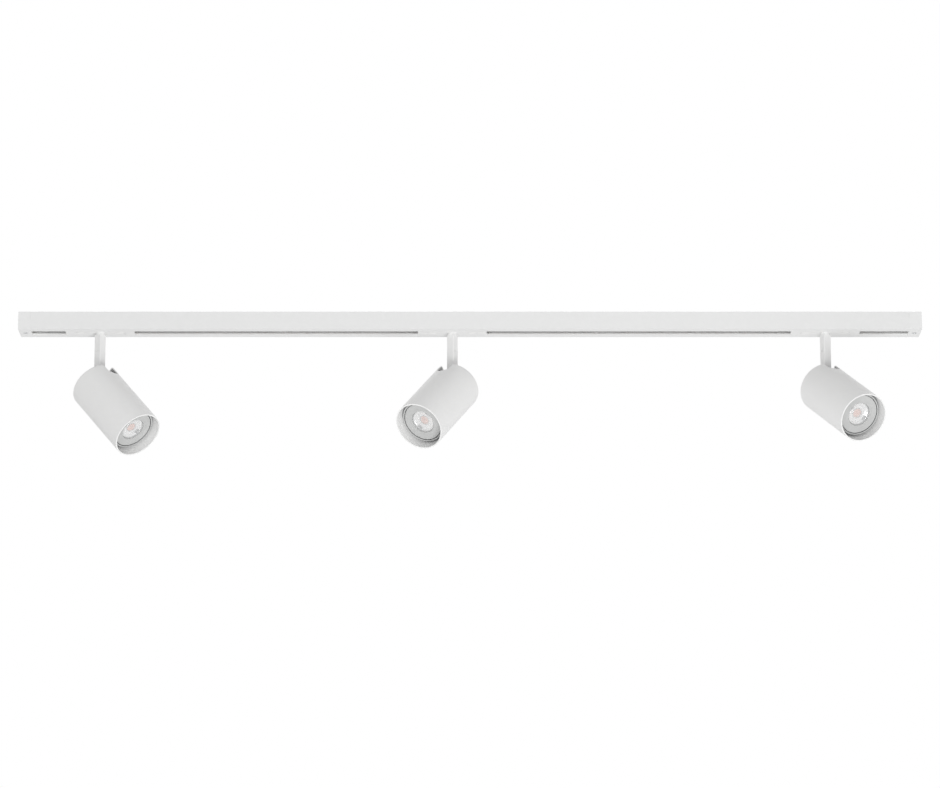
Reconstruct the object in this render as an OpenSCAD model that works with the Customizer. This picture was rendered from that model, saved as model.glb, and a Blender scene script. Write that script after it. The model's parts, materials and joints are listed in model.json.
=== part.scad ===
// Surface track with three swivelling spotlights.
// The origin is on the ceiling face of the track, at the middle of its length.
// +X runs along the track, -Y faces the room and +Z points up to the ceiling.

/* [Track] */
// Length of the aluminium track without its end caps
track_len = 1000; // [960:1:1040]
// Width of the track across the ceiling
track_w = 35; // [35:0.5:38]
// Height of the track below the ceiling
track_h = 20.5; // [20.5:0.1:22]
// Thickness of the side walls and bottom flanges
track_wall = 1.6; // [1.4:0.1:1.6]
// Thickness of the web that lies against the ceiling
web_t = 1.8; // [1.6:0.1:1.9]
// Width of the downward slot
slot_w = 15; // [15:0.1:15.6]
// Length of each end cap along the track
cap_len = 14; // [13:0.5:16]
// Number of slotted fixing holes in the web
fix_count = 4; // [2:1:5]
// Distance between neighbouring fixing holes
fix_pitch = 300; // [120:10:300]
// Width of a fixing hole
fix_w = 4.5; // [4:0.1:5]
// Length of a fixing hole along the track
fix_len = 8; // [6:0.5:12]
// Radius of the cable inlet in the feed end cap
inlet_r = 4.5; // [3.5:0.5:5]

/* [Adapters] */
// Length of an adapter along the track
adapter_len = 78.4; // [76:0.2:84]
// Width of an adapter inside the slot
adapter_w = 14.4; // [14.2:0.1:14.4]
// Wall thickness of the adapter housing
adapter_wall = 1.3; // [1.2:0.1:1.3]
// Distance from the stem to each locking cam
cam_x = 22.5; // [21:0.5:24]
// Distance from the stem to the end pieces of the housing
seam_x = 28; // [27.5:0.5:30]

/* [Stems] */
// Side of the square stem
stem_side = 9.2; // [8.4:0.1:9.2]
// Depth of the tilt axis below the ceiling
pivot_drop = 87.3; // [85:0.1:110]

/* [Lamp heads] */
// Outer diameter of the lamp tube
tube_d = 57; // [56:0.1:60]
// Length of the lamp tube
tube_len = 97; // [96:0.5:110]
// Wall thickness of the lamp tube
tube_wall = 1.4; // [1:0.1:1.4]
// Distance from the rear face of the tube to the tilt axis
pivot_back = 10.8; // [10.4:0.1:11]
// Width of the tilt slot in the tube
tilt_slot_w = 16; // [15.4:0.1:17]
// Depth of the lamp face behind the front rim
lamp_recess = 10; // [8:0.5:12]

/* [Aim of each head] */
// Place of the first head along the track
spot_1_x = -421.7; // [-440:0.1:-299]
// Direction of the first head seen from above
spot_1_pan = -36.5; // [-250:0.5:70]
// Angle of the first head below the horizontal
spot_1_tilt = 45.6; // [0:0.1:90]
// Place of the second head along the track
spot_2_x = -20.1; // [-115:0.1:115]
// Direction of the second head seen from above
spot_2_pan = -124.7; // [-250:0.1:70]
// Angle of the second head below the horizontal
spot_2_tilt = 40.6; // [0:0.1:90]
// Place of the third head along the track
spot_3_x = 405.2; // [299:0.1:440]
// Direction of the third head seen from above
spot_3_pan = -61; // [-250:0.5:70]
// Angle of the third head below the horizontal
spot_3_tilt = 34; // [0:0.1:90]

/* [Hidden] */
$fn = 64;
fine = 96;                      // facets of the big turned parts

spot_x = [spot_1_x, spot_2_x, spot_3_x];
spot_pan = [spot_1_pan, spot_2_pan, spot_3_pan];
spot_tilt = [spot_1_tilt, spot_2_tilt, spot_3_tilt];

eps = 0.5;                      // how far a cutting tool stands proud
near = 0.05;                    // running clearance of a journal or sliding face
gap = 0.3;                      // free space between parts that pass each other

// Track section
web_z = -web_t;                 // underside of the web
floor_z = -track_h;             // outside of the bottom flanges
flange_z = floor_z + track_wall;
wall_y = track_w / 2 - track_wall;
strip_z0 = -13.8;               // insulating strips between the holding ribs
strip_z1 = -4.2;
strip_y = 9.6;
groove_z0 = -11.6;
groove_z1 = -6.4;
copper_y0 = 12;
copper_y1 = 13.3;
copper_back = 1;                // how far the copper stops short of the track ends
rib_h = 0.6;
rib_reach = 1.2;
end_x = track_len / 2;

// End blocks and caps
block_clear = 0.2;
tongue_len = 20;
tongue_z = -15;
tongue_y = 9.2;
cap_wall = 1.6;
cap_in_x = end_x + cap_len - cap_wall;
cap_screw_x = end_x + cap_len / 2;
cap_screw_top = -10;
cap_screw_tip = 1;              // free depth of the blind hole above the screw
screw_head_r = 2.6;
screw_head_h = 0.8;
screw_r = 1.4;
screw_hole_r = 1.45;
recess_arm = 0.7;               // cross recess, as parts of the head radius
recess_width = 0.26;
recess_depth = 0.5;

// Supply terminals in the feed end block
terminal_y = 9.5;
terminal_w = 5;
terminal_z0 = -14;
terminal_h = 6;
pocket_depth = 7;
pocket_x = cap_in_x - pocket_depth;
wire_r = 1.4;
wire_wall = 2.2;
clamp_r = 1.1;
prong_t = 1.1;
prong_z0 = groove_z0 + 0.4;
prong_h = 3.2;
prong_x = end_x - tongue_len + 3;

// Adapter
half_len = adapter_len / 2;
half_w = adapter_w / 2;
cavity_x = half_len - adapter_wall;
cavity_y = half_w - adapter_wall;
floor_top = floor_z + 2.2;
cover_z = -5;
cover_t = 1.4;
lip_h = 1.4;
lip_t = 1;
ear_z0 = flange_z + gap;
ear_t = 2.6;
ear_reach = 11.5;
ear_w = 6;
ear_sweep = ear_reach + 0.8;
cam_head_r = 4.3;
cam_head_t = 0.8;
cam_head_clear = 0.15;
cam_r = 2.5;
cam_slot_half = 0.6;
cam_slot_depth = 0.5;
bridge_z = -15.4;
bridge_t = 1.5;
seam_half = 0.25;
seam_depth = 0.4;
blade_z0 = -10.8;
blade_h = 3.6;
blade_t = 0.5;
blade_clear = 0.4;
blade_foot_y = 5.2;
blade_foot_t = 0.6;
blade_foot_len = 7.2;
blade_half = 12;
blade_overlap = 1.2;
blade_tip_y = copper_y0 - 0.1;
blade_sag = blade_tip_y - blade_foot_y;
blade_r = (blade_half * blade_half + blade_sag * blade_sag) / (2 * blade_sag);
earth_x = 26;
earth_half = 6;
earth_w = 5;
earth_t = 0.4;
earth_slit_half = 0.6;
earth_leg = 5.6;
earth_tip_z = web_z - 0.1;
earth_base_z = cover_z + cover_t;
earth_sag = earth_tip_z - earth_base_z;
earth_r = (earth_half * earth_half + earth_sag * earth_sag) / (2 * earth_sag);

// Swivel of the stem in the adapter floor
journal_r = 4;
neck_r = 5;
neck_h = 3;
neck_z = floor_z - near - neck_h;
nut_r = 5.5;
nut_h = 3;
nut_z1 = floor_top + nut_h;
nut_fit = 0.02;
thread_top = nut_z1 + 1.6;
spanner_slot = 0.9;
stop_half = 0.3;
stop_r0 = 4.2;
bore_r = 2.5;
stem_corner = 0.8;
dimple_z = -42.5;               // small slot half-way up the side faces of the stem
dimple_w = 5.4;
dimple_h = 1;
dimple_depth = 0.7;

// Head, measured from the tilt axis along the tube
tube_r = tube_d / 2;
tube_in = tube_r - tube_wall;
rear = -pivot_back;
rear_in = rear + tube_wall;
mouth = tube_len - pivot_back;
rear_round = 2.5;
slot_r = tilt_slot_w / 2;
slot_end_x = rear + 17.5;
slot_drop = 1.5;
ear_in = stem_side / 2 + 0.35;
sheet_t = 1.5;
ear_half_z = 5;
base_x = 9.8;
base_half_z = 8;
foot_y = 15;
foot_screw_y = 11.5;
foot_screw_r = 2.75;
foot_screw_h = 1.6;
foot_screw_len = 7;
foot_recess = 0.8;
holder_screw_r = 1.7;
lead_hole_r = 4;
shoulder_r = 2;
shoulder_sink = 0.35;           // how deep the shoulder sits in the stem
shoulder_pocket = 0.4;
pivot_thread_r = 1.5;
pivot_head_r = 3.4;
pivot_head_t = 1.8;
pivot_recess = 0.9;
thread_depth = 1.6;
holder_x = base_x + sheet_t + 0.5;
holder_len = 15.5;
holder_r = 13.5;
holder_flat = 9.5;
pin_r = 1.5;
pin_head_r = 2.4;
pin_head_h = 2;
pin_len = 6.6;
pin_circle = 5;
pin_slot_r = 2.8;
pin_slot_depth = 7.5;
twist = 25;
lamp_back = holder_x + holder_len + gap;
lamp_front = mouth - lamp_recess;
lamp_r = 24.9;
lamp_edge = 0.6;
lamp_neck_r = 14;
lamp_base_h = 4;
lamp_base_edge = 2;
flare_steps = 8;
flare_power = 1.8;
rim_len = 7;
lens_r = 22.6;
lens_t = 2;
lens_set = 0.2;
lens_groove = 0.8;
lens_z = lamp_front - lens_set;
well_depth = 16;                // reflector well behind the lens
well_r0 = 8;
well_r1 = 21;
dome_r = 11.5;
dome_h = 2.4;
dome_sphere = (dome_r * dome_r + dome_h * dome_h) / (2 * dome_h);
collar_in = lamp_r + gap;
collar_out = tube_in - near;
collar_len = 2.5;
collar_x = lamp_front - rim_len + 1;
lead_r = 0.7;
lead_pitch = 1.65;
lead_end = 8.8;
lead_top = thread_top + 2.2;
tail_start = lead_end + 0.6;

module at_adapter(i) translate([spot_x[i], 0, 0]) children();
module at_stem(i) at_adapter(i) rotate([0, 0, spot_pan[i]]) children();
module at_head(i) at_stem(i) translate([0, 0, -pivot_drop]) rotate([0, spot_tilt[i], 0]) children();

// A box given by its two corners
module span(a, b) translate(a) cube(b - a);

// A round bar along Z between two heights
module cylinder_z(r, z0, z1) translate([0, 0, z0]) cylinder(r = r, h = z1 - z0);

// Both sides of the middle plane
module both_sides() {
    children();
    mirror([0, 1, 0]) children();
}

// Turns something drawn about Z so that it lies along X
module along_x() rotate([0, 90, 0]) children();

module rounded_square(side, r) {
    square([side, side - 2 * r], center = true);
    square([side - 2 * r, side], center = true);
    for (sx = [-1, 1], sy = [-1, 1])
        translate([sx * (side / 2 - r), sy * (side / 2 - r)]) circle(r);
}

// A slot with round ends, centred, as long and as wide as given
module round_slot(length, width) {
    square([length - width, width], center = true);
    for (s = [-1, 1]) translate([s * (length - width) / 2, 0]) circle(width / 2);
}

// Cross-head recess that opens downwards
module cross_recess(r, depth) for (a = [0, 90]) rotate([0, 0, a])
    translate([-r * recess_arm, -r * recess_width / 2, -depth])
        cube([2 * r * recess_arm, r * recess_width, 2 * depth]);

// ---------------------------------------------------------------- track

module track_section() {
    translate([-track_w / 2, web_z]) square([track_w, web_t]);
    for (s = [0, 1]) mirror([s, 0]) {
        translate([wall_y, floor_z]) square([track_wall, track_h]);
        translate([slot_w / 2, floor_z]) square([track_w / 2 - slot_w / 2, track_wall]);
        for (z = [strip_z0 - rib_h, strip_z1])
            translate([wall_y - rib_reach, z]) square([rib_reach + near, rib_h]);
    }
}

module track_profile() color("#e2e2e2") difference() {
    rotate([90, 0, 90]) translate([0, 0, -end_x]) linear_extrude(track_len) track_section();
    for (k = [0 : fix_count - 1])
        translate([(k - (fix_count - 1) / 2) * fix_pitch, 0, web_z - eps])
            linear_extrude(web_t + 2 * eps) round_slot(fix_len, fix_w);
}

module insulator_strips() color("#d8d8d2") both_sides() difference() {
    span([-end_x + eps, strip_y, strip_z0], [end_x - eps, wall_y, strip_z1]);
    span([-end_x, strip_y - eps, groove_z0], [end_x, copper_y1, groove_z1]);
}

module conductor_strips() color("#b87333") both_sides()
    span([copper_back - end_x, copper_y0, groove_z0 + near],
         [end_x - copper_back, copper_y1 - near, groove_z1 - near]);

// Plug that fills the cap and reaches into the channel; drawn for the +X end
module end_block() difference() {
    union() {
        span([end_x + block_clear, -wall_y + block_clear, flange_z + block_clear],
             [cap_in_x - block_clear, wall_y - block_clear, web_z - block_clear]);
        span([end_x - tongue_len, -tongue_y, tongue_z],
             [end_x + cap_wall, tongue_y, web_z - block_clear]);
    }
    translate([cap_screw_x, 0, 0]) cylinder_z(screw_hole_r, floor_z, cap_screw_top + cap_screw_tip);
}

module dead_end_block() color("#cfcfca") end_block();

// The feed block has pockets for the clamps, open towards the cable inlet
module feed_end_block() color("#cfcfca") mirror([1, 0, 0]) difference() {
    end_block();
    both_sides() {
        span([pocket_x, terminal_y - terminal_w / 2 - block_clear, terminal_z0 - block_clear],
             [cap_in_x + eps, terminal_y + terminal_w / 2 + block_clear,
              terminal_z0 + terminal_h + block_clear]);
        span([end_x - eps, copper_y0 - prong_t - block_clear, prong_z0 - block_clear],
             [end_x + cap_len, copper_y0 + block_clear, prong_z0 + prong_h + block_clear]);
    }
}

// Brass clamps with a wire hole, a clamping screw and a prong that lies on the copper
module feed_terminals() color("#c9a94f") mirror([1, 0, 0]) both_sides() difference() {
    union() {
        span([pocket_x + block_clear, terminal_y - terminal_w / 2, terminal_z0],
             [cap_in_x - block_clear, terminal_y + terminal_w / 2, terminal_z0 + terminal_h]);
        span([prong_x, copper_y0 - prong_t, prong_z0], [pocket_x + 1, copper_y0 - near, prong_z0 + prong_h]);
    }
    translate([pocket_x + wire_wall, terminal_y, terminal_z0 + terminal_h / 2])
        along_x() cylinder(r = wire_r, h = pocket_depth);
    translate([pocket_x + pocket_depth / 2, terminal_y, terminal_z0 - eps])
        cylinder(r = clamp_r, h = terminal_h / 2);
}

// Shell that slips over the block; drawn for the +X end
module end_cap() difference() {
    span([end_x + near, -track_w / 2, floor_z], [end_x + cap_len, track_w / 2, 0]);
    span([end_x - eps, -wall_y, flange_z], [cap_in_x, wall_y, web_z]);
    translate([cap_screw_x, 0, 0]) {
        cylinder_z(screw_r + gap, floor_z - eps, flange_z + eps);
        cylinder_z(screw_head_r + gap, floor_z - eps, floor_z + screw_head_h);
    }
}

module dead_end_cap() color("#e4e4e4") end_cap();

module feed_end_cap() color("#e4e4e4") difference() {
    mirror([1, 0, 0]) end_cap();
    translate([-end_x - cap_len - eps, 0, floor_z / 2])
        along_x() cylinder(r = inlet_r, h = cap_wall + 2 * eps);
}

module end_cap_screws() color("#b9bcc0")
    for (s = [-1, 1]) translate([s * cap_screw_x, 0, floor_z]) difference() {
        union() {
            cylinder(r = screw_head_r, h = screw_head_h);
            cylinder(r = screw_r, h = cap_screw_top - floor_z);
        }
        cross_recess(screw_head_r, recess_depth);
    }

// ---------------------------------------------------------------- adapter

module adapter_housing(i) color("#dedede") at_adapter(i) difference() {
    union() {
        difference() {
            span([-half_len, -half_w, floor_z], [half_len, half_w, cover_z]);
            span([-cavity_x, -cavity_y, floor_top], [cavity_x, cavity_y, cover_z + eps]);
        }
        for (s = [-1, 1]) translate([s * cam_x, 0, bridge_z])
            span([-cam_r * 2, -cavity_y - near, 0], [cam_r * 2, cavity_y + near, bridge_t]);
        // stop for the swivel, on the room side
        span([-stop_half, -cavity_y - near, nut_z1 + gap], [stop_half, -stop_r0, thread_top]);
    }
    cylinder_z(journal_r + near, floor_z - eps, floor_top + eps);
    for (s = [-1, 1]) translate([s * cam_x, 0, 0]) {
        cylinder_z(cam_head_r + cam_head_clear, floor_z - eps, floor_z + cam_head_t + near);
        cylinder_z(cam_r + near, floor_z, bridge_z + bridge_t + eps);
        cylinder_z(ear_sweep, ear_z0 - gap / 2, bridge_z - near);
    }
    // windows for the contact blades
    span([-blade_half - 1, -half_w - eps, blade_z0 - blade_clear],
         [blade_half + 1, half_w + eps, blade_z0 + blade_h + blade_clear]);
    // parting lines of the end pieces
    for (s = [-1, 1]) translate([s * seam_x, 0, 0]) {
        span([-seam_half, -half_w - eps, floor_z - eps], [seam_half, half_w + eps, floor_z + seam_depth]);
        both_sides()
            span([-seam_half, half_w - seam_depth, floor_z - eps], [seam_half, half_w + eps, ear_z0 - eps]);
    }
}

module adapter_cover(i) color("#dedede") at_adapter(i) difference() {
    union() {
        span([-half_len, -half_w, cover_z], [half_len, half_w, cover_z + cover_t]);
        difference() {
            span([near - cavity_x, near - cavity_y, cover_z - lip_h],
                 [cavity_x - near, cavity_y - near, cover_z + near]);
            span([lip_t - cavity_x, lip_t - cavity_y, cover_z - lip_h - eps],
                 [cavity_x - lip_t, cavity_y - lip_t, cover_z]);
        }
    }
    translate([earth_x - earth_half + earth_slit_half, 0, 0])
        span([-earth_slit_half, -earth_w / 2 - near, cover_z - eps],
             [earth_slit_half, earth_w / 2 + near, cover_z + cover_t + eps]);
}

// One bowed leaf on each side, pressed against the copper strips
module contact_blades(i) color("#b87333") at_adapter(i) both_sides() {
    translate([0, 0, blade_z0]) linear_extrude(blade_h) difference() {
        translate([0, blade_tip_y - blade_r]) circle(blade_r);
        translate([0, blade_tip_y - blade_r]) circle(blade_r - blade_t);
        translate([-2 * blade_r, blade_foot_y - 3 * blade_r]) square([4 * blade_r, 3 * blade_r]);
    }
    for (s = [0, 1]) mirror([s, 0, 0]) translate([blade_half - blade_overlap, blade_foot_y, blade_z0])
        span([0, -blade_foot_t / 2, 0], [blade_foot_len, blade_foot_t / 2, blade_h]);
}

// Spring tongue that touches the web of the track, with one leg down through the cover
module earth_contact(i) color("#c9a94f") at_adapter(i) translate([earth_x, 0, 0]) {
    translate([0, earth_w / 2, 0]) rotate([90, 0, 0]) linear_extrude(earth_w) difference() {
        translate([0, earth_tip_z - earth_r]) circle(earth_r);
        translate([0, earth_tip_z - earth_r]) circle(earth_r - earth_t);
        translate([-2 * earth_r, earth_base_z + near - 3 * earth_r]) square([4 * earth_r, 3 * earth_r]);
    }
    translate([earth_t - earth_half, -earth_w / 2, earth_base_z + 4 * near - earth_leg])
        cube([earth_t, earth_w, earth_leg]);
}

// Turning cam: two ears over the flanges, a spindle and a slotted head in the floor
module lock_cam(i, side) color("#d2d2d0") at_adapter(i) translate([side * cam_x, 0, 0]) difference() {
    union() {
        cylinder_z(cam_head_r, floor_z, floor_z + cam_head_t);
        cylinder_z(cam_r, floor_z, bridge_z + bridge_t);
        intersection() {
            span([-ear_w / 2, -ear_reach, ear_z0], [ear_w / 2, ear_reach, ear_z0 + ear_t]);
            cylinder_z(ear_reach, ear_z0 - eps, ear_z0 + ear_t + eps);
        }
    }
    span([-cam_head_r * 0.8, -cam_slot_half, floor_z - eps],
         [cam_head_r * 0.8, cam_slot_half, floor_z + cam_slot_depth]);
}

// ---------------------------------------------------------------- stem

// Everything below the tilt axis that lies outside the round end of the stem
module below_round_end() translate([0, 0, -pivot_drop]) rotate([90, 0, 0])
    translate([0, 0, -stem_side]) difference() {
        translate([-stem_side, -stem_side, 0]) cube([2 * stem_side, stem_side, 2 * stem_side]);
        cylinder(r = stem_side / 2, h = 2 * stem_side);
    }

module stem(i) color("#dcdcdc") at_stem(i) difference() {
    union() {
        cylinder_z(journal_r, floor_z - near, thread_top);
        cylinder_z(neck_r, neck_z, floor_z - near);
        difference() {
            translate([0, 0, -pivot_drop - stem_side / 2])
                linear_extrude(pivot_drop + stem_side / 2 + neck_z) rounded_square(stem_side, stem_corner);
            below_round_end();
        }
    }
    cylinder_z(bore_r, -pivot_drop, thread_top + eps);
    // fork that lets the leads swing with the head
    translate([0, 0, -pivot_drop]) {
        span([0, -bore_r, -stem_side], [stem_side, bore_r, bore_r]);
        span([-bore_r, -bore_r, -stem_side], [bore_r, bore_r, 0]);
        rotate([90, 0, 0]) cylinder(r = pivot_thread_r + near, h = 2 * stem_side, center = true);
        both_sides() translate([0, stem_side / 2 + eps, 0]) rotate([90, 0, 0])
            cylinder(r = shoulder_r + near, h = shoulder_pocket + eps);
    }
    both_sides() translate([0, stem_side / 2 + eps, dimple_z]) rotate([90, 0, 0])
        linear_extrude(dimple_depth + eps) round_slot(dimple_w, dimple_h);
}

module stem_nut(i) color("#c4c6c8") at_stem(i) difference() {
    union() {
        cylinder_z(nut_r, floor_top + near, nut_z1);
        // lug that meets the stop in the housing, opposite to the heading
        span([2 * near - nut_r, -stop_half, nut_z1 - near], [-stop_r0, stop_half, thread_top]);
    }
    cylinder_z(journal_r + nut_fit, floor_top - eps, thread_top + eps);
    for (a = [90, 270]) rotate([0, 0, a])
        span([nut_r - spanner_slot, -cam_slot_half, floor_top + 1], [nut_r + 1, cam_slot_half, thread_top]);
}

module leads(i) color("#c8ccd2") for (k = [-1, 0, 1]) {
    at_stem(i) translate([0, k * lead_pitch, 0]) {
        cylinder_z(lead_r, -pivot_drop, lead_top);
        translate([0, 0, -pivot_drop]) sphere(lead_r + near);
    }
    at_head(i) translate([0, k * lead_pitch, 0]) along_x() cylinder(r = lead_r, h = lead_end);
}

// ---------------------------------------------------------------- head

// Half outline of a cup with a closed, round-edged bottom at z0
module cup_outline(r, z0, z1, round) {
    translate([0, z0 + round]) square([r, z1 - z0 - round]);
    translate([0, z0]) square([r - round, round + near]);
    translate([r - round, z0 + round]) circle(round);
}

module lamp_tube(i) color("#dddddd") at_head(i) difference() {
    along_x() rotate_extrude($fn = fine) intersection() {
        difference() {
            cup_outline(tube_r, rear, mouth, rear_round);
            cup_outline(tube_in, rear_in, mouth + eps, rear_round - tube_wall);
        }
        translate([0, rear - eps]) square([tube_r + 1, tube_len + 2 * eps]);
    }
    // tilt slot: along the top of the tube and across the rear face
    linear_extrude(tube_r + 1) {
        translate([rear - 1, -slot_r]) square([slot_end_x - slot_r - rear + 1, tilt_slot_w]);
        translate([slot_end_x - slot_r, 0]) circle(slot_r);
    }
    translate([rear - 1, 0, slot_drop]) along_x() cylinder(r = slot_r, h = 1 + tube_wall + eps);
    for (s = [-1, 1]) translate([rear - eps, s * foot_screw_y, 0])
        along_x() cylinder(r = screw_r + 2 * near, h = tube_wall + 2 * eps);
}

module head_bracket(i) color("#c3c6c9") at_head(i) difference() {
    union() {
        span([base_x, -foot_y, -base_half_z], [base_x + sheet_t, foot_y, base_half_z]);
        both_sides() translate([rear_in + near, ear_in, -ear_half_z]) {
            cube([base_x - rear_in, sheet_t, 2 * ear_half_z]);
            cube([sheet_t, foot_y - ear_in, 2 * ear_half_z]);
        }
    }
    rotate([90, 0, 0]) cylinder(r = shoulder_r + near, h = 4 * foot_y, center = true);
    translate([base_x - eps, 0, 0]) along_x() cylinder(r = lead_hole_r, h = sheet_t + 2 * eps);
    for (s = [-1, 1]) translate([0, s * foot_screw_y, 0]) along_x() {
        cylinder_z(screw_hole_r, rear_in - eps, rear_in + near + sheet_t + eps);
        cylinder_z(holder_screw_r, base_x - eps, base_x + sheet_t + eps);
    }
}

module bracket_screws(i) color("#b9bcc0") at_head(i) for (s = [-1, 1])
    translate([rear - foot_screw_h, s * foot_screw_y, 0]) along_x() difference() {
        union() {
            cylinder(r = foot_screw_r, h = foot_screw_h - near);
            cylinder(r = screw_r, h = foot_screw_len);
        }
        cross_recess(foot_screw_r, foot_recess);
    }

// Shoulder screws: the shoulder runs in the bracket, the thread sits in the stem
module pivot_screws(i) color("#b9bcc0") at_stem(i) translate([0, 0, -pivot_drop]) both_sides()
    translate([0, ear_in + sheet_t + near + pivot_head_t, 0]) rotate([90, 0, 0]) difference() {
        to_stem = pivot_head_t + sheet_t + ear_in - stem_side / 2;
        union() {
            cylinder(r = pivot_head_r, h = pivot_head_t);
            cylinder(r = shoulder_r, h = to_stem + shoulder_sink);
            cylinder(r = pivot_thread_r, h = to_stem + thread_depth);
        }
        cross_recess(pivot_head_r, pivot_recess);
    }

// Pin pocket: wide enough for the pin head over the whole twist
module pin_pocket() {
    far = 3 * pin_circle;
    for (a = [0, twist]) rotate([0, 0, a]) translate([pin_circle, 0]) circle(pin_slot_r);
    difference() {
        circle(pin_circle + pin_slot_r);
        circle(pin_circle - pin_slot_r);
        rotate([0, 0, twist]) translate([-far, 0]) square(2 * far);
        translate([-far, -2 * far]) square(2 * far);
    }
}

module lampholder(i) color("#efece4") at_head(i) {
    translate([holder_x, 0, 0]) along_x() difference() {
        intersection() {
            cylinder(r = holder_r, h = holder_len);
            translate([-holder_r, -holder_flat, 0]) cube([2 * holder_r, 2 * holder_flat, holder_len]);
        }
        for (a = [0, 180]) translate([0, 0, holder_len - pin_slot_depth]) rotate([0, 0, a])
            linear_extrude(pin_slot_depth + eps) pin_pocket();
    }
    // short lead tails that reach back towards the tilt axis
    for (k = [-1, 1]) translate([0, k * lead_pitch, 0])
        along_x() cylinder_z(lead_r, tail_start, holder_x + eps);
}

function flare(t) = lamp_neck_r + (lamp_r - lamp_neck_r) * (1 - pow(1 - t, flare_power));

module lamp_body(i) color("#d9d9d9") at_head(i) {
    flare_x = lamp_back + lamp_base_h;
    flare_len = lamp_front - rim_len - flare_x;
    along_x() rotate_extrude($fn = fine) difference() {
        polygon(concat(
            [[0, lamp_back], [lamp_neck_r - lamp_base_edge, lamp_back],
             [lamp_neck_r, lamp_back + lamp_base_edge]],
            [for (k = [1 : flare_steps]) [flare(k / flare_steps), flare_x + k * flare_len / flare_steps]],
            [[lamp_r, lamp_front - lamp_edge], [lamp_r - lamp_edge, lamp_front], [0, lamp_front]]));
        translate([0, lens_z - lens_t]) square([lens_r + lens_groove, lens_t + lens_set + eps]);
        polygon([[0, lamp_front - well_depth], [well_r0, lamp_front - well_depth],
                 [well_r1, lens_z - lens_t + near], [0, lamp_front]]);
    }
    along_x() for (a = [0, 180]) rotate([0, 0, a]) translate([pin_circle, 0, 0]) {
        cylinder_z(pin_r, lamp_back - pin_len, lamp_back + 1);
        cylinder_z(pin_head_r, lamp_back - pin_len, lamp_back - pin_len + pin_head_h);
    }
}

module lamp_lens(i) color("#c9cbcc") at_head(i) along_x() {
    cylinder_z(lens_r, lens_z - lens_t, lens_z);
    intersection() {
        translate([0, 0, lens_z + dome_h - dome_sphere]) sphere(dome_sphere, $fn = fine);
        cylinder_z(dome_r + 1, lens_z - near, lens_z + dome_h + 1);
    }
}

module centring_collar(i) color("#8e9092") at_head(i) along_x() difference() {
    cylinder_z(collar_out, collar_x, collar_x + collar_len);
    cylinder_z(collar_in, collar_x - eps, collar_x + collar_len + eps);
}

track_profile();
insulator_strips();
conductor_strips();
feed_end_block();
dead_end_block();
feed_terminals();
feed_end_cap();
dead_end_cap();
end_cap_screws();
adapter_housing(0);  // spot_1_adapter_housing
adapter_cover(0);  // spot_1_adapter_cover
contact_blades(0);  // spot_1_contact_blades
earth_contact(0);  // spot_1_earth_contact
lock_cam(0, -1);  // spot_1_lock_cam_left
lock_cam(0, 1);  // spot_1_lock_cam_right
stem(0);  // spot_1_stem
stem_nut(0);  // spot_1_stem_nut
pivot_screws(0);  // spot_1_pivot_screws
head_bracket(0);  // spot_1_head_bracket
bracket_screws(0);  // spot_1_bracket_screws
lamp_tube(0);  // spot_1_lamp_tube
lampholder(0);  // spot_1_lampholder
lamp_body(0);  // spot_1_lamp_body
lamp_lens(0);  // spot_1_lamp_lens
centring_collar(0);  // spot_1_centring_collar
leads(0);  // spot_1_leads
adapter_housing(1);  // spot_2_adapter_housing
adapter_cover(1);  // spot_2_adapter_cover
contact_blades(1);  // spot_2_contact_blades
earth_contact(1);  // spot_2_earth_contact
lock_cam(1, -1);  // spot_2_lock_cam_left
lock_cam(1, 1);  // spot_2_lock_cam_right
stem(1);  // spot_2_stem
stem_nut(1);  // spot_2_stem_nut
pivot_screws(1);  // spot_2_pivot_screws
head_bracket(1);  // spot_2_head_bracket
bracket_screws(1);  // spot_2_bracket_screws
lamp_tube(1);  // spot_2_lamp_tube
lampholder(1);  // spot_2_lampholder
lamp_body(1);  // spot_2_lamp_body
lamp_lens(1);  // spot_2_lamp_lens
centring_collar(1);  // spot_2_centring_collar
leads(1);  // spot_2_leads
adapter_housing(2);  // spot_3_adapter_housing
adapter_cover(2);  // spot_3_adapter_cover
contact_blades(2);  // spot_3_contact_blades
earth_contact(2);  // spot_3_earth_contact
lock_cam(2, -1);  // spot_3_lock_cam_left
lock_cam(2, 1);  // spot_3_lock_cam_right
stem(2);  // spot_3_stem
stem_nut(2);  // spot_3_stem_nut
pivot_screws(2);  // spot_3_pivot_screws
head_bracket(2);  // spot_3_head_bracket
bracket_screws(2);  // spot_3_bracket_screws
lamp_tube(2);  // spot_3_lamp_tube
lampholder(2);  // spot_3_lampholder
lamp_body(2);  // spot_3_lamp_body
lamp_lens(2);  // spot_3_lamp_lens
centring_collar(2);  // spot_3_centring_collar
leads(2);  // spot_3_leads
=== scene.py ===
"""Looks of the track lighting fixture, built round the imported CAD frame."""
import json
import math

import bmesh
import bpy
from mathutils import Matrix, Vector


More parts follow.
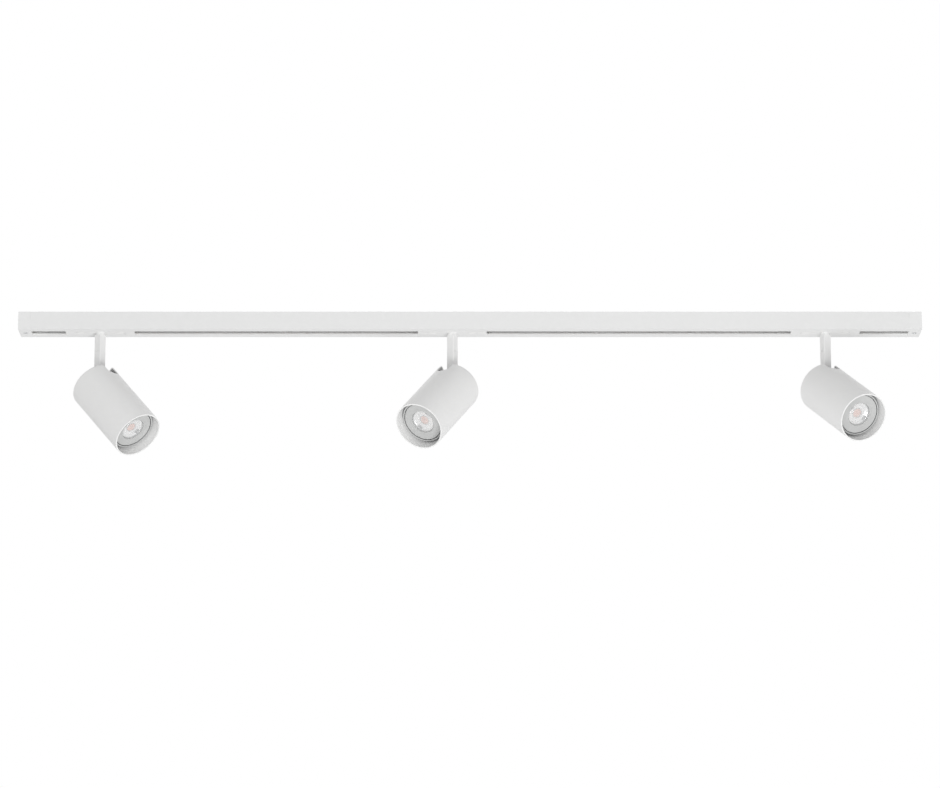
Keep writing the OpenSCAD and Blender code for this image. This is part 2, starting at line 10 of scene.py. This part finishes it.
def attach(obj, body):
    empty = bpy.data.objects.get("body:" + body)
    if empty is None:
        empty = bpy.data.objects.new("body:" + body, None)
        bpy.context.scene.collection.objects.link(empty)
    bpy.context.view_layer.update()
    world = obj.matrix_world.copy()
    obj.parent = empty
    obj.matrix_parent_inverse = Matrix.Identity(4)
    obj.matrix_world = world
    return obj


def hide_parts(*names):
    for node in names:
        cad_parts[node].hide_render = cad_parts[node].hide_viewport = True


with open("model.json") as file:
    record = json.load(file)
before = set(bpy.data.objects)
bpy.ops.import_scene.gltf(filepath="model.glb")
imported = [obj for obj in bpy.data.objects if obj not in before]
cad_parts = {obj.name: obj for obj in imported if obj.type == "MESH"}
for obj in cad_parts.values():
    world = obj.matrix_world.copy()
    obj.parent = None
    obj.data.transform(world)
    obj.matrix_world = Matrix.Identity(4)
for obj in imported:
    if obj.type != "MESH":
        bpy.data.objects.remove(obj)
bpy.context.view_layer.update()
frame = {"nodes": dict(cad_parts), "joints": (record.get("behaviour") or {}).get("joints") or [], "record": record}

MM = 0.001
NODES = frame["nodes"]
JOINTS = {j["name"]: j for j in frame["joints"]}
SPOTS = sorted({n.split("_")[1] for n in NODES if n.startswith("spot_")})


# ---------------------------------------------------------------- frames

def basis(x, y, z, origin):
    m = Matrix((x, y, z)).transposed().to_4x4()
    m.translation = Vector(origin)
    return m


def head_frame(spot):
    """+X along the tube to its mouth, +Y along the tilt axis, origin on the tilt axis."""
    tilt, twist = JOINTS[f"spot_{spot}_tilt"], JOINTS[f"spot_{spot}_lamp_twist"]
    x, y = Vector(twist["axis"]).normalized(), Vector(tilt["axis"]).normalized()
    return basis(x, y, x.cross(y), tilt["pos_m"])


def local_box(node, m):
    """A CAD node's lowest and highest corner, measured in the frame m."""
    inverse = m.inverted()
    points = [inverse @ v.co for v in NODES[node].data.vertices]
    return (Vector([min(p[k] for p in points) for k in range(3)]),
            Vector([max(p[k] for p in points) for k in range(3)]))


# ---------------------------------------------------------------- materials

class Nodes:
    """A small helper that adds shader nodes and links them."""

    def __init__(self, name):
        self.material = bpy.data.materials.new(name)
        self.material.use_nodes = True
        self.tree = self.material.node_tree
        self.shader = self.tree.nodes["Principled BSDF"]
        self.place = self.tree.nodes.new("ShaderNodeTexCoord").outputs["Object"]

    def add(self, kind, inputs=(), **settings):
        n = self.tree.nodes.new(kind)
        for k, v in settings.items():
            setattr(n, k, v)
        for k, v in dict(inputs).items():
            if isinstance(v, bpy.types.NodeSocket):
                self.tree.links.new(v, n.inputs[k])
            else:
                n.inputs[k].default_value = v
        return n

    def noise(self, scale, detail=3.0, roughness=0.55, distortion=0.0, vector=None):
        n = self.add("ShaderNodeTexNoise", {"Vector": vector or self.place, "Scale": scale, "Detail": detail,
                                            "Roughness": roughness, "Distortion": distortion})
        return n.outputs["Fac"]

    def span(self, value, low, high, to_low, to_high):
        n = self.add("ShaderNodeMapRange", {"Value": value, "From Min": low, "From Max": high,
                                            "To Min": to_low, "To Max": to_high})
        return n.outputs["Result"]

    def mix(self, factor, a, b):
        n = self.add("ShaderNodeMix", data_type="RGBA")
        for socket, v in ((n.inputs[0], factor), (n.inputs[6], a), (n.inputs[7], b)):
            if isinstance(v, bpy.types.NodeSocket):
                self.tree.links.new(v, socket)
            else:
                socket.default_value = v
        return n.outputs[2]

    def math(self, operation, a, b):
        return self.add("ShaderNodeMath", {0: a, 1: b}, operation=operation).outputs[0]

    def bump(self, height, strength, distance, normal=None):
        n = self.add("ShaderNodeBump", {"Height": height, "Strength": strength, "Distance": distance})
        if normal is not None:
            self.tree.links.new(normal, n.inputs["Normal"])
        return n.outputs["Normal"]

    def edges(self, low=0.52, high=0.60):
        """1 on sharp convex edges and 0 on flats."""
        pointiness = self.add("ShaderNodeNewGeometry").outputs["Pointiness"]
        return self.span(pointiness, low, high, 0.0, 1.0)

    def drive(self, **inputs):
        for k, v in inputs.items():
            socket = self.shader.inputs[k.replace("_", " ")]
            if isinstance(v, bpy.types.NodeSocket):
                self.tree.links.new(v, socket)
            else:
                socket.default_value = v
        return self.material


RUBBED_EDGE = 1.04    # how much lighter an edge is where hands have rubbed it
PLASTIC_IOR = 1.49
LENS_ALPHA = 0.27


def shade(colour, factor):
    return tuple(min(1.0, c * factor) for c in colour[:3]) + (1.0,)


def powder_coat(name, colour, tint=0.008, grain=1500.0):
    """Baked powder paint: fine orange peel, the faintest clouding and slightly rubbed edges."""
    n = Nodes(name)
    clouds = n.noise(5.0, 2.0)
    specks = n.noise(900.0, 2.0)
    base = n.mix(n.span(clouds, 0.3, 0.7, 0.0, 1.0), shade(colour, 1 - tint), shade(colour, 1 + tint))
    base = n.mix(n.span(specks, 0.60, 0.75, 0.0, 0.25), base, shade(colour, 0.95))
    rubbed = n.math("MULTIPLY", n.edges(), n.span(n.noise(160.0), 0.45, 0.7, 0.0, 0.5))
    base = n.mix(rubbed, base, shade(colour, RUBBED_EDGE))
    peel = n.noise(grain, 2.0, 0.5)
    fine = n.noise(grain * 3.2, 1.0, 0.5)
    normal = n.bump(peel, 0.16, 0.0001)
    normal = n.bump(fine, 0.10, 0.00005, normal)
    return n.drive(Base_Color=base, Normal=normal, IOR=1.5,
                   Roughness=n.span(n.noise(60.0, 4.0), 0.3, 0.7, 0.38, 0.46))


def moulding(name, colour, rough=0.42, tint=0.012, grain=2600.0):
    """Injection-moulded plastic with a fine spark-eroded grain and slight flow marks."""
    n = Nodes(name)
    flow = n.noise(22.0, 3.0, 0.6, 1.5)
    base = n.mix(n.span(flow, 0.3, 0.7, 0.0, 1.0), shade(colour, 1 - tint), shade(colour, 1 + tint * 0.5))
    rubbed = n.math("MULTIPLY", n.edges(), n.span(n.noise(220.0), 0.4, 0.7, 0.0, 0.5))
    base = n.mix(rubbed, base, shade(colour, RUBBED_EDGE))
    normal = n.bump(n.noise(grain, 2.0, 0.6), 0.18, 0.00006)
    return n.drive(Base_Color=base, Normal=normal, IOR=PLASTIC_IOR,
                   Roughness=n.span(n.noise(90.0, 4.0), 0.3, 0.7, rough - 0.06, rough + 0.08))


def plated(name, colour, rough=0.30, along=(1.0, 30.0, 30.0), scratch=260.0):
    """Zinc-plated or rolled metal: stretched scratches, spangle and rubbed edges."""
    n = Nodes(name)
    stretched = n.add("ShaderNodeMapping", {"Vector": n.place, "Scale": along}).outputs["Vector"]
    lines = n.noise(scratch, 4.0, 0.6, 0.0, stretched)
    spangle = n.add("ShaderNodeTexVoronoi", {"Vector": n.place, "Scale": 900.0}).outputs["Distance"]
    base = n.mix(n.span(n.noise(120.0, 4.0), 0.3, 0.7, 0.0, 1.0), shade(colour, 0.82), shade(colour, 1.06))
    base = n.mix(n.math("MULTIPLY", n.edges(), 0.6), base, shade(colour, 1.25))
    normal = n.bump(lines, 0.16, 0.00006)
    return n.drive(Base_Color=base, Normal=normal, Metallic=1.0,
                   Roughness=n.math("ADD", n.span(lines, 0.3, 0.7, rough - 0.06, rough + 0.1),
                                    n.span(spangle, 0.0, 0.7, 0.0, 0.08)))


def pearl(name, colour):
    """Metallised white plastic: bright, satin, with fine flow lines."""
    n = Nodes(name)
    base = n.mix(n.span(n.noise(300.0, 3.0), 0.3, 0.7, 0.0, 1.0), shade(colour, 0.96), shade(colour, 1.02))
    return n.drive(Base_Color=base, Normal=n.bump(n.noise(1800.0), 0.12, 0.00005), Metallic=0.6, IOR=1.5,
                   Roughness=n.span(n.noise(500.0, 3.0), 0.3, 0.7, 0.16, 0.26))


def fired(name, colour):
    """Unglazed steatite: matt, slightly mottled and pitted."""
    n = Nodes(name)
    base = n.mix(n.span(n.noise(180.0, 5.0), 0.35, 0.65, 0.0, 1.0), shade(colour, 0.93), shade(colour, 1.02))
    pits = n.add("ShaderNodeTexVoronoi", {"Vector": n.place, "Scale": 1600.0}).outputs["Distance"]
    normal = n.bump(n.span(pits, 0.0, 0.25, 0.0, 1.0), 0.25, 0.00008)
    return n.drive(Base_Color=base, Normal=normal, Roughness=n.span(n.noise(300.0), 0.3, 0.7, 0.62, 0.78))


def sleeve(name, colour):
    """Silicone lead sleeving with a soft sheen and fine dust."""
    n = Nodes(name)
    base = n.mix(n.span(n.noise(500.0, 3.0), 0.35, 0.65, 0.0, 1.0), shade(colour, 0.9), shade(colour, 1.03))
    normal = n.bump(n.noise(3000.0), 0.15, 0.00004)
    return n.drive(Base_Color=base, Normal=normal, Roughness=n.span(n.noise(700.0), 0.3, 0.7, 0.45, 0.6),
                   Sheen_Weight=0.15)


def clear_lens(name, colour):
    """Clear moulded optic with faint haze and flow lines."""
    n = Nodes(name)
    haze = n.noise(260.0, 4.0)
    normal = n.bump(n.noise(700.0, 2.0), 0.08, 0.00005)
    base = n.mix(n.span(haze, 0.3, 0.7, 0.0, 1.0), shade(colour, 0.97), shade(colour, 1.0))
    return n.drive(Base_Color=base, Normal=normal, Roughness=n.span(haze, 0.3, 0.7, 0.03, 0.10),
                   IOR=PLASTIC_IOR, Alpha=LENS_ALPHA)


def frosted(name, colour):
    """Fine-frosted lamp face: grey-white, with a fine micro-prism grain."""
    n = Nodes(name)
    grain = n.noise(2400.0, 2.0)
    cloud = n.noise(60.0, 4.0)
    base = n.mix(n.span(cloud, 0.35, 0.65, 0.0, 1.0), shade(colour, 0.95), shade(colour, 1.03))
    normal = n.bump(grain, 0.3, 0.00005)
    return n.drive(Base_Color=base, Normal=normal, Roughness=n.span(grain, 0.3, 0.7, 0.22, 0.38),
                   IOR=PLASTIC_IOR, Coat_Weight=0.35, Coat_Roughness=0.12)


def phosphor(name, colour):
    """Unlit phosphor over the light-emitting chips."""
    n = Nodes(name)
    cells = n.add("ShaderNodeTexVoronoi", {"Vector": n.place, "Scale": 620.0}).outputs["Distance"]
    base = n.mix(n.span(cells, 0.1, 0.6, 0.0, 1.0), shade(colour, 1.08), shade(colour, 0.8))
    return n.drive(Base_Color=base, Normal=n.bump(cells, 0.3, 0.0002),
                   Roughness=n.span(n.noise(900.0), 0.3, 0.7, 0.3, 0.5), Subsurface_Weight=0.1)


def copper(name, colour):
    """Bare copper with brown tarnish in blotches."""
    n = Nodes(name)
    tarnish = n.noise(70.0, 6.0, 0.65, 0.6)
    base = n.mix(n.span(tarnish, 0.42, 0.68, 0.0, 1.0), shade(colour, 1.0), (0.30, 0.16, 0.10, 1.0))
    stretched = n.add("ShaderNodeMapping", {"Vector": n.place, "Scale": (1.0, 40.0, 40.0)}).outputs["Vector"]
    lines = n.noise(300.0, 3.0, 0.6, 0.0, stretched)
    return n.drive(Base_Color=base, Normal=n.bump(lines, 0.2, 0.00005), Metallic=1.0,
                   Roughness=n.span(tarnish, 0.3, 0.7, 0.24, 0.46))


WHITE = (0.75, 0.753, 0.75)
FINISHES = {
    "track_paint": powder_coat("track_paint", WHITE),
    "cap_plastic": moulding("cap_plastic", (0.765, 0.768, 0.765)),
    "adapter_plastic": moulding("adapter_plastic", (0.765, 0.765, 0.76)),
    "cam_plastic": moulding("cam_plastic", (0.80, 0.80, 0.79), 0.38),
    "stem_paint": powder_coat("stem_paint", (0.79, 0.79, 0.785), grain=1700.0),
    "tube_paint": powder_coat("tube_paint", (0.815, 0.815, 0.81), grain=1300.0),
    "insulator_plastic": moulding("insulator_plastic", (0.95, 0.95, 0.945), 0.55),
    "block_plastic": moulding("block_plastic", (0.78, 0.78, 0.76), 0.5),
    "collar_plastic": moulding("collar_plastic", (0.17, 0.173, 0.177), 0.5),
    "lamp_plastic": moulding("lamp_plastic", (0.46, 0.465, 0.46), 0.4),
    "copper_strip": copper("copper_strip", (0.80, 0.42, 0.26)),
    "copper_spring": copper("copper_spring", (0.84, 0.48, 0.30)),
    "terminal_brass": plated("terminal_brass", (0.80, 0.62, 0.28), 0.28),
    "earth_brass": plated("earth_brass", (0.82, 0.66, 0.34), 0.26),
    "screw_steel": plated("screw_steel", (0.66, 0.67, 0.68), 0.28),
    "bracket_steel": powder_coat("bracket_steel", (0.82, 0.82, 0.815)),
    "holder_ceramic": fired("holder_ceramic", (0.84, 0.82, 0.77)),
    "lead_silicone": sleeve("lead_silicone", (0.78, 0.78, 0.79)),
    "lens_plastic": clear_lens("lens_plastic", (0.96, 0.97, 0.97)),
}
FACE = frosted("lamp_face", (0.455, 0.46, 0.455))
PEARL = pearl("reflector_plastic", (0.90, 0.90, 0.90))
CHIP = phosphor("led_phosphor", (0.78, 0.33, 0.22))
BOARD = moulding("led_board", (0.62, 0.62, 0.60), 0.35)
# dark rubber on the face seal; on the optic clips the same dark is painted shade, standing in for the shadow arc
# in the optic
DARK = moulding("seal_rubber_and_painted_shade", (0.06, 0.06, 0.065), 0.6)

for part in frame["record"]["subparts"]:
    slots = NODES[part["node"]].data.materials
    slots.clear()
    slots.append(FINISHES[part["material_slot"]])


# ---------------------------------------------------------------- mesh tools

EDGE_SEGMENTS = 2
EDGE_ANGLE = 32.0     # an edge sharper than this, in degrees, is rounded
WELD = 1e-7           # corners closer than this, in metres, are one
SLIVER = 1e-14        # a face smaller than this, in square metres, is dropped


def finished(name, bm, material, body):
    """Turns a bmesh into a shown piece that rides on a body."""
    mesh = bpy.data.meshes.new(name)
    bmesh.ops.recalc_face_normals(bm, faces=bm.faces)
    bm.to_mesh(mesh)
    bm.free()
    mesh.materials.append(material)
    mesh.polygons.foreach_set("use_smooth", [True] * len(mesh.polygons))
    o = bpy.data.objects.new(name, mesh)
    bpy.context.scene.collection.objects.link(o)
    soften(o)
    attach(o, body)
    return o


def soften(o, bevel=0.0):
    """Rounds an object's sharp edges, if given a radius, and keeps its flats flat."""
    if bevel:
        b = o.modifiers.new("edge_radius", "BEVEL")
        b.width, b.segments, b.limit_method = bevel, EDGE_SEGMENTS, "ANGLE"
        b.angle_limit = math.radians(EDGE_ANGLE)
        b.harden_normals = True
    w = o.modifiers.new("flat_faces", "WEIGHTED_NORMAL")
    w.keep_sharp = True


def lathe(outline, steps, m):
    """A closed solid turned about +X: outline is a closed loop of (x, radius)."""
    bm = bmesh.new()
    rings = []
    for k in range(steps):
        a = 2 * math.pi * k / steps
        rings.append([bm.verts.new(m @ Vector((x, r * math.sin(a), r * math.cos(a)))) for x, r in outline])
    for k in range(steps):
        near, far = rings[k], rings[(k + 1) % steps]
        for j in range(len(outline)):
            i = (j + 1) % len(outline)
            bm.faces.new((near[j], near[i], far[i], far[j]))
    bmesh.ops.remove_doubles(bm, verts=bm.verts, dist=WELD)
    degenerate = [f for f in bm.faces if f.calc_area() < SLIVER]
    bmesh.ops.delete(bm, geom=degenerate, context="FACES_ONLY")
    bmesh.ops.delete(bm, geom=[e for e in bm.edges if not e.link_faces], context="EDGES")
    return bm


def arc_block(outline, middle, span, steps, m):
    """A closed stretch of a ring about +X, centred on the angle middle, in degrees from +Z to +Y."""
    bm = bmesh.new()
    rings = []
    for k in range(steps + 1):
        a = math.radians(middle + span * (2 * k / steps - 1))
        rings.append([bm.verts.new(m @ Vector((x, r * math.sin(a), r * math.cos(a)))) for x, r in outline])
    for near, far in zip(rings, rings[1:]):
        for j in range(len(outline)):
            i = (j + 1) % len(outline)
            bm.faces.new((near[j], near[i], far[i], far[j]))
    bm.faces.new(rings[0])
    bm.faces.new(list(reversed(rings[-1])))
    return bm


def arc(cx, cy, r, a0, a1, steps):
    """Points of an arc from a0 to a1 degrees."""
    return [(cx + r * math.cos(math.radians(a0 + (a1 - a0) * k / steps)),
             cy + r * math.sin(math.radians(a0 + (a1 - a0) * k / steps))) for k in range(steps + 1)]


EDGE_MM = {"track_profile": 0.45, "feed_end_cap": 0.8, "dead_end_cap": 0.8, "adapter_housing": 0.3,
           "stem": 0.15, "lamp_tube": 0.3}
SMALL_EDGE_MM = 0.12

for node, o in NODES.items():
    kind = node.split("_", 2)[2] if node.startswith("spot_") else node
    o.data.polygons.foreach_set("use_smooth", [True] * len(o.data.polygons))
    soften(o, EDGE_MM.get(kind, SMALL_EDGE_MM) * MM)


# ---------------------------------------------------------------- lamp fronts

DOME_RISE = 2.4 * MM
PLATE = 2.0 * MM
OPTIC_R = 13.3 * MM
OPTIC_GAP = 0.15 * MM
PEBBLE = 0.22 * MM
PEBBLE_RINGS = 4
PEBBLES_ROUND = 14
BOWL_DEPTH = 2.0 * MM
BOWL_FOOT = 6.2 * MM
BOWL_WALL = 0.5 * MM
CHIP_R = 5.0 * MM
CHIP_RISE = 0.45 * MM
FACE_SUNK = 0.35 * MM
OPTIC_SUNK = 0.2 * MM
SNUG = 0.05 * MM
SEAL_BACK = 1.0 * MM
SEAL_FRONT = 0.55 * MM
SEAL_MIDDLE = 0.4 * MM
SEAL_LIP = 0.3 * MM
CLIP_SPAN = 15.0
CLIP_STEPS = 8
PLATE_STEPS = 96
OPTIC_STEPS = 168
BOARD_STEPS = 48
# where round each lamp its two dark clips sit, in degrees; they are turned onto the dark shadow arc in the optic,
# so their dark colour is painted shade
SHADE_CLIP_TURN = {"1": 103.0, "2": -130.0, "3": 114.0}


def ring_plate(x, r0, r1):
    """The frosted plate round the optic: soft outer edge, raised inner lip and two fine steps."""
    lip, step = 0.35 * MM, 0.12 * MM
    top = [(x, r1 - 0.5 * MM), (x - 0.15 * MM, r1 - 0.15 * MM), (x - 0.5 * MM, r1)]
    inner = [(x - PLATE, r0), (x + lip * 0.4, r0), (x + lip, r0 + 0.3 * MM), (x + lip, r0 + 0.9 * MM),
             (x + step, r0 + 1.3 * MM), (x + step, r0 + 3.2 * MM), (x, r0 + 3.4 * MM)]
    return inner + top + [(x - PLATE, r1)]


def optic_outline(x, r):
    """A shallow clear dome over a hollowed back."""
    front = [(x + DOME_RISE * (1 - (k / 32) ** 2), (k / 32) * (r - 0.6 * MM)) for k in range(33)]
    back = [(x - PLATE + 0.9 * MM * (1 - (k / 8) ** 2), r * 0.86 * k / 8) for k in range(8, -1, -1)]
    return front + [(x - 0.1 * MM, r - 0.5 * MM), (x - 0.3 * MM, r), (x - PLATE, r)] + back


def pebbled(bm, m, x, r):
    """Raises rings of small pillows on the dome, which break up what is seen through it."""
    inverse, axis = m.inverted(), (m.to_3x3() @ Vector((1, 0, 0))).normalized()
    for v in bm.verts:
        p = inverse @ v.co
        q = math.hypot(p.y, p.z) / r
        if p.x > x + 0.05 * MM and q > 0.1:
            turn = math.atan2(p.y, p.z) + (math.pi / PEBBLES_ROUND) * (int(q * PEBBLE_RINGS) % 2)
            v.co += (axis * PEBBLE * math.sin(math.pi * PEBBLE_RINGS * q) ** 2
                     * math.cos(PEBBLES_ROUND * turn))
    return bm


def facet_bowl(m, x, depth, r0, r1, wall, around=20, tiers=5):
    """A reflector of flat mirror facets, staggered from tier to tier."""
    bm = bmesh.new()

    def tier(r, z, k):
        return [bm.verts.new(m @ Vector((z, r * math.sin(a), r * math.cos(a))))
                for a in ((j + 0.5 * (k % 2)) * 2 * math.pi / around for j in range(around))]

    shape = [(r0 + (r1 - r0) * math.sqrt(k / tiers), x - depth + depth * k / tiers)
             for k in range(tiers + 1)]
    inner = [tier(r, z, k) for k, (r, z) in enumerate(shape)]
    outer = [tier(r + wall, z - (wall if k == 0 else 0), k) for k, (r, z) in enumerate(shape)]
    for rows in (inner, outer):
        for k in range(tiers):
            for j in range(around):
                a, b = rows[k][j], rows[k][(j + 1) % around]
                if k % 2 == 0:
                    c, d = rows[k + 1][j], rows[k + 1][j - 1]
                    bm.faces.new((a, c, d)); bm.faces.new((a, b, c))
                else:
                    c, d = rows[k + 1][j], rows[k + 1][(j + 1) % around]
                    bm.faces.new((a, d, c)); bm.faces.new((a, b, d))
    for one, two in ((inner[0], outer[0]), (inner[-1], outer[-1])):
        for j in range(around):
            i = (j + 1) % around
            bm.faces.new((one[j], one[i], two[i], two[j]))
    return bm


def face_seal(x, r):
    """A thin rubber lip between the face plate and the lamp's rim."""
    back, front, middle = x - SEAL_BACK, x - SEAL_FRONT, r + SEAL_MIDDLE
    lip = arc(front, middle, SEAL_LIP, 250, 430, 6)[1:-1]
    return [(back, r + SNUG), (front, r + SNUG)] + lip + [(back, middle + 0.35 * MM)]


def led_board(x):
    """The round board, with its front edge chamfered."""
    back, front, chamfer = x - 1.6 * MM, x - 0.3 * MM, 0.2 * MM
    return [(back, 0), (back, BOWL_FOOT), (front - chamfer, BOWL_FOOT),
            (front, BOWL_FOOT - chamfer), (front, 0)]


def led_dam(x):
    """The low ring round the phosphor, with a rounded inner top edge."""
    back, front, r0, r1 = x - 0.25 * MM, x + 0.3 * MM, CHIP_R + 0.1 * MM, CHIP_R + 0.7 * MM
    rounded = arc(front, CHIP_R + 0.4 * MM, 0.3 * MM, 270, 360, 4)[1:]
    return [(back, r0), (front, r0)] + rounded + [(back, r1)]


def led_chip(x, steps=8):
    """The phosphor, a shallow dome."""
    back = x - 0.25 * MM
    dome = [(x + CHIP_RISE * (1 - (k / steps) ** 2), CHIP_R * k / steps) for k in range(steps, -1, -1)]
    return [(back, 0), (back, CHIP_R)] + dome


def painted_shade_clip(x):
    """The section of a dark clip that holds the optic over the bowl, with a chamfered inner edge; its dark colour
    paints the shadow arc in the optic.
    """
    inner, outer = OPTIC_R - 3.6 * MM, OPTIC_R - 1.3 * MM
    back, top, chamfer = x - 1.9 * MM, x + 0.2 * MM, 0.2 * MM
    return [(back, inner), (top - chamfer, inner), (top, inner + chamfer), (top, outer), (back, outer)]


def lamp_front(spot):
    """Builds the visible front of one lamp in the place of its CAD lens."""
    m, node, body = head_frame(spot), f"spot_{spot}_lamp_lens", f"spot_{spot}_lamp"
    high = local_box(node, m)[1]
    face_x, face_r = high.x - DOME_RISE, high.y
    bowl_x = face_x - PLATE - 0.5 * MM
    foot = bowl_x - BOWL_DEPTH

    def turned(part, outline, steps, material):
        return finished(f"spot_{spot}_{part}", lathe(outline, steps, m), material, body)

    plate = ring_plate(face_x - FACE_SUNK, OPTIC_R + OPTIC_GAP, face_r)
    face = finished(f"spot_{spot}_face_plate", lathe(plate, PLATE_STEPS, m), FACE, body)
    dome = lathe(optic_outline(face_x - OPTIC_SUNK, OPTIC_R), OPTIC_STEPS, m)
    dome = pebbled(dome, m, face_x, OPTIC_R)
    optic = finished(f"spot_{spot}_optic", dome, FINISHES["lens_plastic"], body)
    for o in (face, optic):
        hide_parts(node)
    turned("face_seal", face_seal(face_x, face_r), PLATE_STEPS, DARK)
    bowl = facet_bowl(m, bowl_x, BOWL_DEPTH, BOWL_FOOT, OPTIC_R - 0.8 * MM, BOWL_WALL)
    bowl = finished(f"spot_{spot}_reflector", bowl, PEARL, body)
    bowl.data.polygons.foreach_set("use_smooth", [False] * len(bowl.data.polygons))
    turned("led_board", led_board(foot), BOARD_STEPS, BOARD)
    turned("led_dam", led_dam(foot), BOARD_STEPS, FACE)
    turned("led_chip", led_chip(foot), BOARD_STEPS, CHIP)
    # two dark clips per lamp, turned to where the optic shows a dark shadow arc: painted shade
    for k, turn in enumerate((0.0, 180.0)):
        clip = arc_block(painted_shade_clip(bowl_x), SHADE_CLIP_TURN[spot] + turn, CLIP_SPAN, CLIP_STEPS, m)
        finished(f"spot_{spot}_optic_clip_{k + 1}", clip, DARK, body)


for spot in SPOTS:
    lamp_front(spot)

# ---------------------------------------------------------------- stage, light and camera

FLOOR_DROP = 3.2
FLOOR_SIZE = 30.0
AIM = (0, 0, -0.08)
CAMERA_BACK = 4.2
CAMERA_DROP = 1.1675
CAMERA_RISE = 14.36
CAMERA_LENS = 146.1
VIEW_GAMMA = 1.25
# direction, where its rise starts and ends, strength before and after the rise
SKY = (("Y", -0.4, 0.9, 0.21, 0.92), ("Z", 0.0, 1.0, 0.0, 0.42))

world = bpy.data.worlds.new("studio")
bpy.context.scene.world = world
world.use_nodes = True
sky = world.node_tree
facing = sky.nodes.new("ShaderNodeSeparateXYZ")
sky.links.new(sky.nodes.new("ShaderNodeTexCoord").outputs["Generated"], facing.inputs[0])
# the sky's strength rises towards the back (+Y) and towards the zenith (+Z)
total = sky.nodes.new("ShaderNodeMath")
for term, (way, start, end, dim, bright) in enumerate(SKY):
    glow = sky.nodes.new("ShaderNodeMapRange")
    glow.interpolation_type = "SMOOTHSTEP"
    for k, v in {"From Min": start, "From Max": end, "To Min": dim, "To Max": bright}.items():
        glow.inputs[k].default_value = v
    sky.links.new(facing.outputs[way], glow.inputs["Value"])
    sky.links.new(glow.outputs["Result"], total.inputs[term])
sky.links.new(total.outputs[0], sky.nodes["Background"].inputs["Strength"])
sky.nodes["Background"].inputs["Color"].default_value = (1, 1, 1, 1)
# the camera itself sees plain white
backdrop = sky.nodes.new("ShaderNodeBackground")
backdrop.inputs["Color"].default_value = (1, 1, 1, 1)
choose = sky.nodes.new("ShaderNodeMixShader")
sky.links.new(sky.nodes.new("ShaderNodeLightPath").outputs["Is Camera Ray"], choose.inputs[0])
sky.links.new(sky.nodes["Background"].outputs[0], choose.inputs[1])
sky.links.new(backdrop.outputs[0], choose.inputs[2])
sky.links.new(choose.outputs[0], sky.nodes["World Output"].inputs["Surface"])


def softbox(name, at, size, power):
    """A round soft light, out of the camera's sight, turned towards the fixture."""
    light = bpy.data.lights.new(name, "AREA")
    light.shape, light.size, light.energy = "DISK", size, power
    o = bpy.data.objects.new(name, light)
    o.location = at
    o.rotation_euler = (Vector(AIM) - Vector(at)).to_track_quat("-Z", "Y").to_euler()
    o.visible_camera = False
    bpy.context.scene.collection.objects.link(o)


softbox("low_softbox", (0.56, -1.9, -1.96), 1.2, 38.0)
softbox("high_softbox", (-1.6, -2.2, 1.6), 1.2, 3.0)
softbox("front_softbox", (-0.3, -3.9, -0.95), 1.6, 33.0)

bm = bmesh.new()
bmesh.ops.create_grid(bm, x_segments=8, y_segments=8, size=FLOOR_SIZE)
floor_mesh = bpy.data.meshes.new("floor")
bm.to_mesh(floor_mesh)
bm.free()
floor = bpy.data.objects.new("floor", floor_mesh)
floor.location.z = -FLOOR_DROP
bpy.context.scene.collection.objects.link(floor)
pale = Nodes("pale_floor")
clouded = pale.mix(pale.noise(0.8, 3.0), (0.71, 0.71, 0.71, 1), (0.74, 0.74, 0.74, 1))
pale.drive(Base_Color=clouded, Roughness=0.8)
# seen from below, the floor is see-through
see_through = pale.add("ShaderNodeMixShader", {0: pale.add("ShaderNodeNewGeometry").outputs["Backfacing"],
                                               1: pale.shader.outputs[0],
                                               2: pale.add("ShaderNodeBsdfTransparent").outputs[0]})
pale.tree.links.new(see_through.outputs[0], pale.tree.nodes["Material Output"].inputs["Surface"])
floor_mesh.materials.append(pale.material)

scene = bpy.context.scene
scene.view_settings.view_transform = "Standard"
scene.view_settings.gamma = VIEW_GAMMA
camera = bpy.data.objects.new("camera", bpy.data.cameras.new("camera"))
scene.collection.objects.link(camera)
camera.location = (0, -CAMERA_BACK, -CAMERA_DROP)
camera.rotation_euler = (math.radians(90 + CAMERA_RISE), 0, 0)
camera.data.lens = CAMERA_LENS
camera.data.sensor_width = 36
camera.data.clip_end = 200
scene.camera = camera
